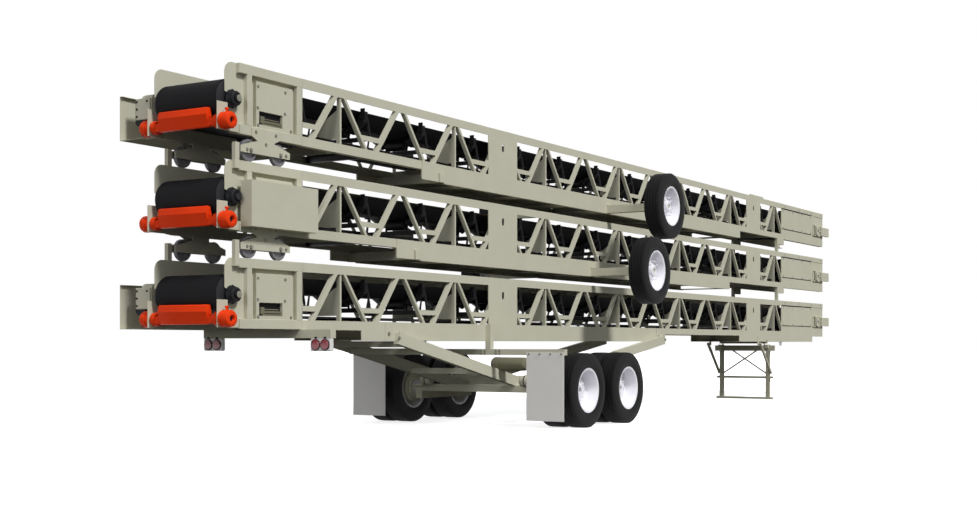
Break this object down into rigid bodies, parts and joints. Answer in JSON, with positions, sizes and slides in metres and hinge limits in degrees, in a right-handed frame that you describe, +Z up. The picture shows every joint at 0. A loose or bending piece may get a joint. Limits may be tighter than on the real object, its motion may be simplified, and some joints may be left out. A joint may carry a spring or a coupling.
{
  "type": "stacked portable conveyor",
  "caption": "Road-going stack of troughed belt conveyors on truss frames, carried by a tandem axle group, a kingpin plate and a folding landing stand.",
  "frame": {"origin": "centre of the bounding box on the ground", "axes": "+X to the towing end, +Y to the left, +Z up"},
  "size_m": [20.2499, 3.46, 4.08],
  "materials": {
    "paint": "khaki-grey satin paint",
    "belt": "matt black conveyor belting",
    "tyre": "black road tyre rubber",
    "cleaner": "orange cast polyurethane",
    "roller": "black enamelled steel rolls",
    "drive": "dark painted castings",
    "steel": "bare machined steel",
    "flap": "light grey plastic sheet",
    "lamp": "red lamp lens"
  },
  "bodies": {
    "frame": {"bottom_truss_right": "paint", "bottom_truss_left": "paint", "bottom_cross_members": "paint", "bottom_belt": "belt", "bottom_rollers": "roller", "bottom_belt_cleaner": "cleaner", "bottom_drive": "drive", "bottom_guard": "paint", "middle_truss_right": "paint", "middle_truss_left": "paint", "middle_cross_members": "paint", "middle_belt": "belt", "middle_rollers": "roller", "middle_belt_cleaner": "cleaner", "middle_drive": "drive", "middle_guard": "paint", "top_truss_right": "paint", "top_truss_left": "paint", "top_cross_members": "paint", "top_belt": "belt", "top_rollers": "roller", "top_belt_cleaner": "cleaner", "top_drive": "drive", "top_guard": "paint", "middle_undercarriage": "paint", "middle_bogies": "paint", "top_undercarriage": "paint", "top_bogies": "paint", "chassis_beams": "paint", "kingpin": "steel", "wheel_frame": "paint", "axles": "paint", "mud_flaps": "flap", "rear_lamps": "lamp"},
    "landing_stand": {"landing_stand": "paint"},
    "middle_bogie_wheel_front_left": {"middle_bogie_wheel_front_left": "steel"},
    "middle_bogie_wheel_front_right": {"middle_bogie_wheel_front_right": "steel"},
    "middle_bogie_wheel_rear_left": {"middle_bogie_wheel_rear_left": "steel"},
    "middle_bogie_wheel_rear_right": {"middle_bogie_wheel_rear_right": "steel"},
    "middle_wheel_left": {"middle_wheel_left": "tyre"},
    "middle_wheel_right": {"middle_wheel_right": "tyre"},
    "road_wheels_front_left": {"road_wheels_front_left": "tyre"},
    "road_wheels_front_right": {"road_wheels_front_right": "tyre"},
    "road_wheels_rear_left": {"road_wheels_rear_left": "tyre"},
    "road_wheels_rear_right": {"road_wheels_rear_right": "tyre"},
    "stand_brace_left": {"stand_brace_left": "paint"},
    "stand_brace_right": {"stand_brace_right": "paint"},
    "top_bogie_wheel_front_left": {"top_bogie_wheel_front_left": "steel"},
    "top_bogie_wheel_front_right": {"top_bogie_wheel_front_right": "steel"},
    "top_bogie_wheel_rear_left": {"top_bogie_wheel_rear_left": "steel"},
    "top_bogie_wheel_rear_right": {"top_bogie_wheel_rear_right": "steel"},
    "top_wheel_left": {"top_wheel_left": "tyre"},
    "top_wheel_right": {"top_wheel_right": "tyre"}
  },
  "joints": [
    {"name": "road_wheels_rear_right_turn", "type": "hinge", "parent": "frame", "child": "road_wheels_rear_right", "pos_m": [-4.105, -1.43, 0.507], "axis": [0, 1, 0], "continuous": true},
    {"name": "road_wheels_front_right_turn", "type": "hinge", "parent": "frame", "child": "road_wheels_front_right", "pos_m": [-2.86, -1.43, 0.507], "axis": [0, 1, 0], "continuous": true},
    {"name": "road_wheels_rear_left_turn", "type": "hinge", "parent": "frame", "child": "road_wheels_rear_left", "pos_m": [-4.105, 1.43, 0.507], "axis": [0, 1, 0], "continuous": true},
    {"name": "road_wheels_front_left_turn", "type": "hinge", "parent": "frame", "child": "road_wheels_front_left", "pos_m": [-2.86, 1.43, 0.507], "axis": [0, 1, 0], "continuous": true},
    {"name": "middle_wheel_right_turn", "type": "hinge", "parent": "frame", "child": "middle_wheel_right", "pos_m": [-1.635, -1.48, 2.245], "axis": [0, 1, 0], "continuous": true},
    {"name": "middle_bogie_wheel_rear_right_turn", "type": "hinge", "parent": "frame", "child": "middle_bogie_wheel_rear_right", "pos_m": [-9.555, -0.468, 2.1603], "axis": [0, 1, 0], "continuous": true},
    {"name": "middle_bogie_wheel_front_right_turn", "type": "hinge", "parent": "frame", "child": "middle_bogie_wheel_front_right", "pos_m": [-9.075, -0.468, 2.1603], "axis": [0, 1, 0], "continuous": true},
    {"name": "middle_wheel_left_turn", "type": "hinge", "parent": "frame", "child": "middle_wheel_left", "pos_m": [-1.635, 1.48, 2.245], "axis": [0, 1, 0], "continuous": true},
    {"name": "middle_bogie_wheel_rear_left_turn", "type": "hinge", "parent": "frame", "child": "middle_bogie_wheel_rear_left", "pos_m": [-9.555, 0.468, 2.1603], "axis": [0, 1, 0], "continuous": true},
    {"name": "middle_bogie_wheel_front_left_turn", "type": "hinge", "parent": "frame", "child": "middle_bogie_wheel_front_left", "pos_m": [-9.075, 0.468, 2.1603], "axis": [0, 1, 0], "continuous": true},
    {"name": "top_wheel_right_turn", "type": "hinge", "parent": "frame", "child": "top_wheel_right", "pos_m": [-1.085, -1.48, 3.265], "axis": [0, 1, 0], "continuous": true},
    {"name": "top_bogie_wheel_rear_right_turn", "type": "hinge", "parent": "frame", "child": "top_bogie_wheel_rear_right", "pos_m": [-9.555, -0.468, 3.1803], "axis": [0, 1, 0], "continuous": true},
    {"name": "top_bogie_wheel_front_right_turn", "type": "hinge", "parent": "frame", "child": "top_bogie_wheel_front_right", "pos_m": [-9.075, -0.468, 3.1803], "axis": [0, 1, 0], "continuous": true},
    {"name": "top_wheel_left_turn", "type": "hinge", "parent": "frame", "child": "top_wheel_left", "pos_m": [-1.085, 1.48, 3.265], "axis": [0, 1, 0], "continuous": true},
    {"name": "top_bogie_wheel_rear_left_turn", "type": "hinge", "parent": "frame", "child": "top_bogie_wheel_rear_left", "pos_m": [-9.555, 0.468, 3.1803], "axis": [0, 1, 0], "continuous": true},
    {"name": "top_bogie_wheel_front_left_turn", "type": "hinge", "parent": "frame", "child": "top_bogie_wheel_front_left", "pos_m": [-9.075, 0.468, 3.1803], "axis": [0, 1, 0], "continuous": true},
    {"name": "landing_stand_fold", "type": "hinge", "parent": "frame", "child": "landing_stand", "pos_m": [6.1875, 0, 1.0795], "axis": [0, 1, 0], "range_deg": [0, 88]},
    {"name": "stand_brace_right_fold", "type": "hinge", "parent": "frame", "child": "stand_brace_right", "pos_m": [5.665, -0.5605, 1.13], "axis": [0, 1, 0], "range_deg": [0, 136]},
    {"name": "stand_brace_left_fold", "type": "hinge", "parent": "frame", "child": "stand_brace_left", "pos_m": [5.665, 0.5605, 1.13], "axis": [0, 1, 0], "range_deg": [0, 136]}
  ]
}
